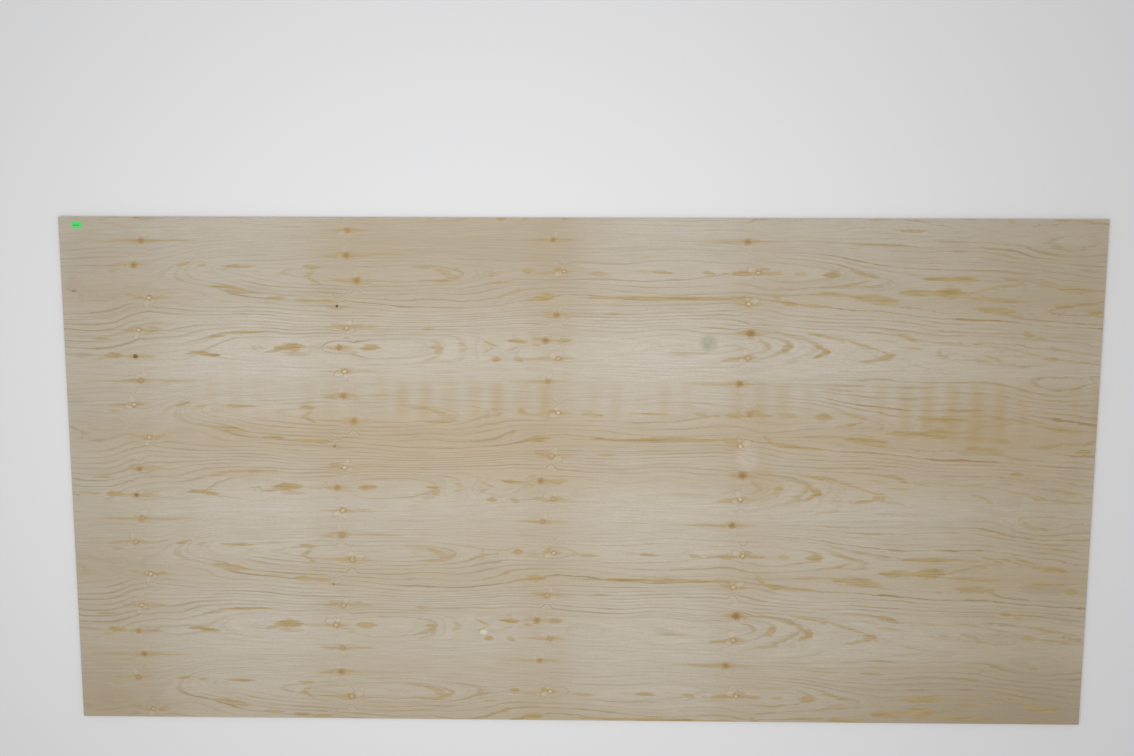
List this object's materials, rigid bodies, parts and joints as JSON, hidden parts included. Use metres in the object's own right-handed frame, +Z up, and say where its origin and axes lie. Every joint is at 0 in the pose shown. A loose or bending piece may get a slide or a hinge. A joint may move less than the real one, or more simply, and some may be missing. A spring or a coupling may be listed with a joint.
{
  "type": "plywood sheet",
  "caption": "Flat rectangular softwood plywood sheet of cross-laid peeled veneers, with its face grain along the length, for floors, walls, roofs and formwork.",
  "frame": {"origin": "centre of the underside, on the level surface that the sheet lies on", "axes": "+X along the length and the face grain, +Y across the width, towards the edge that is uppermost in the picture, +Z up, out of the better face"},
  "size_m": [2.44, 1.22, 0.009],
  "materials": {
    "pine_face": "matte",
    "pine_back": "matte",
    "pine_crossband": "matte",
    "pine_core": "matte",
    "label_film": "matte"
  },
  "bodies": {
    "root": {"back_veneer": "pine_back", "lower_crossband": "pine_crossband", "core_veneer": "pine_core", "upper_crossband": "pine_crossband", "face_veneer": "pine_face"}
  },
  "joints": []
}
